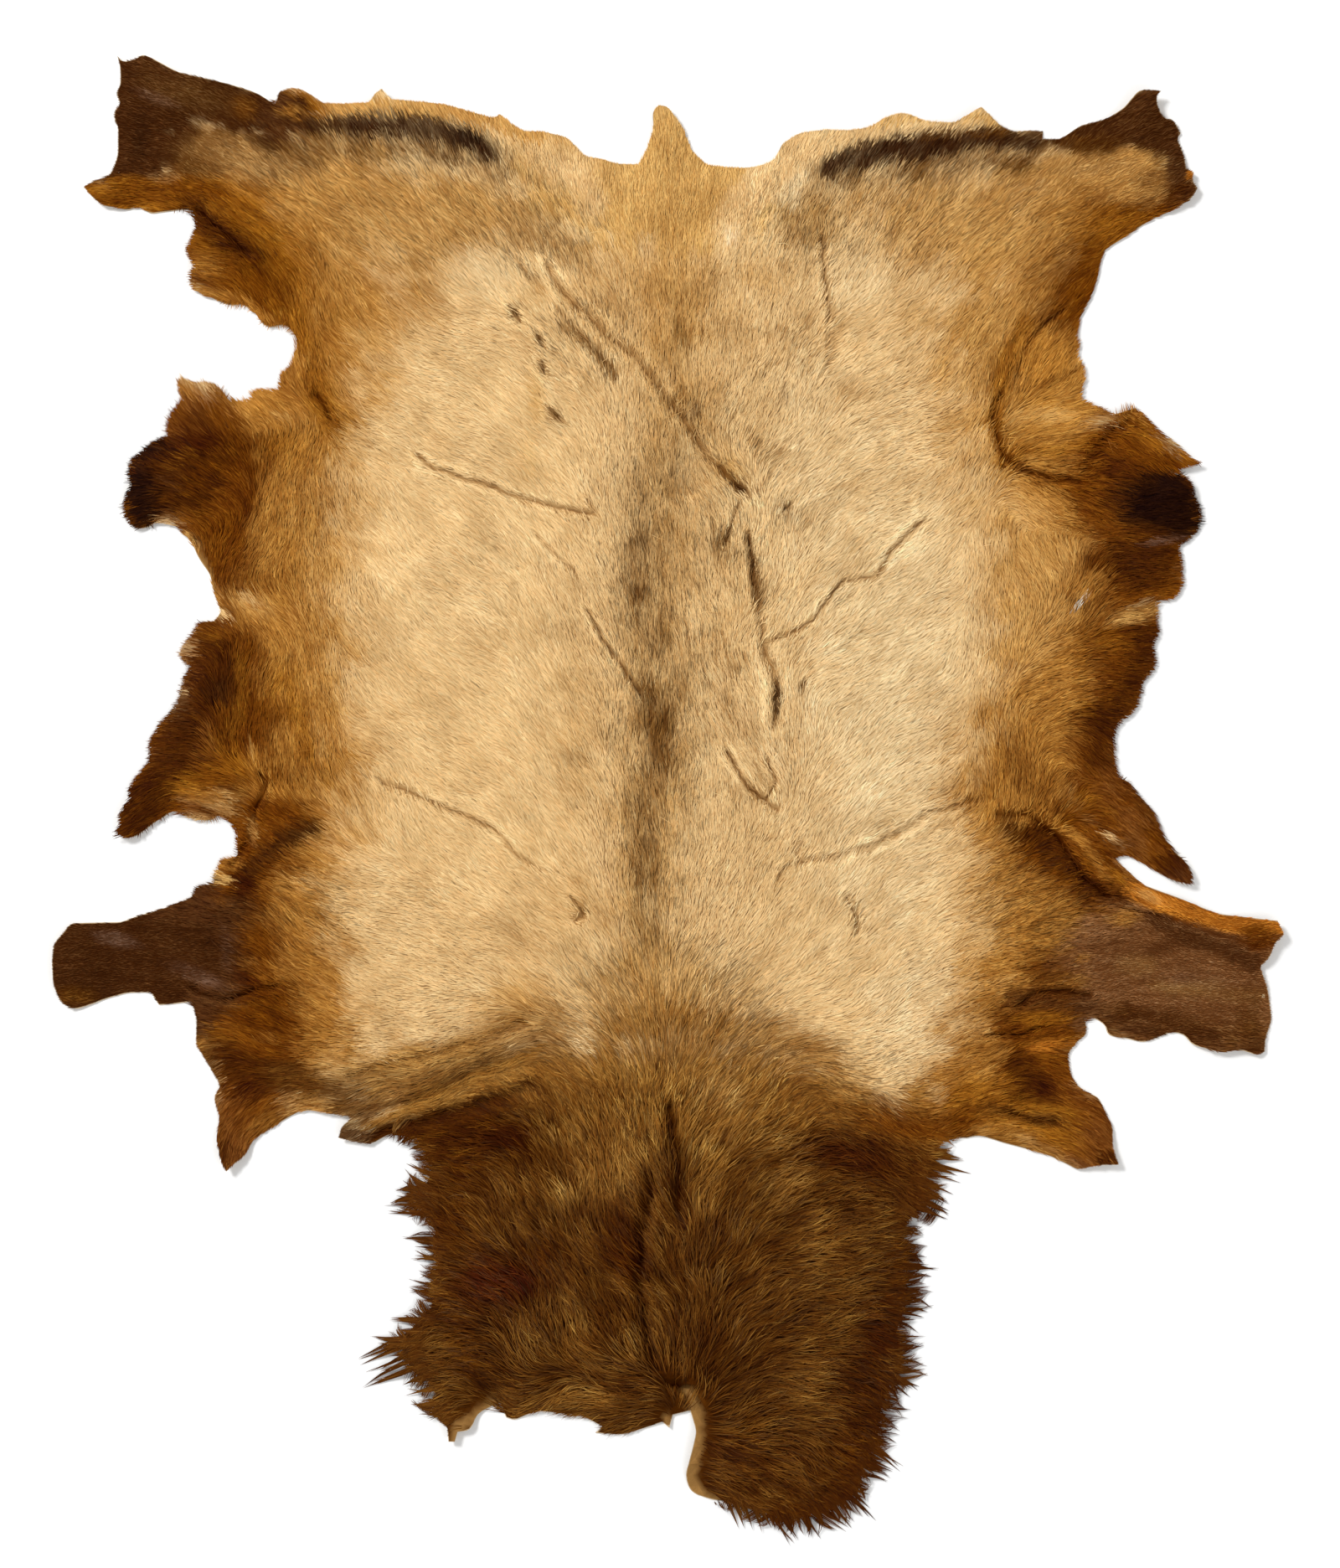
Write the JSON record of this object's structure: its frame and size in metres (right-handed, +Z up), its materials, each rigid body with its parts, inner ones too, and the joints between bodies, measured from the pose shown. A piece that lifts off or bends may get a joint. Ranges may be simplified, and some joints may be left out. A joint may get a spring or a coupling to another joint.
{
  "type": "elk hide with its hair on",
  "caption": "Whole hair-on hide laid flat, uneven natural outline with leg flaps, short tail, smooth body coat and a long dark mane whose locks stand out at the rim.",
  "frame": {"origin": "middle of the hide's outline, on the surface that it lies on", "axes": "+X across the hide to the right when seen from above with the tail away from the viewer, +Y along the spine towards the tail, +Z up out of the hair side"},
  "size_m": [1.763, 2.128, 0.0472],
  "materials": {
    "coat": "soft animal hair, straw on the back, rust on the flanks and dark umber on the mane and belly edges"
  },
  "bodies": {
    "root": {"hide": "coat"}
  },
  "joints": []
}
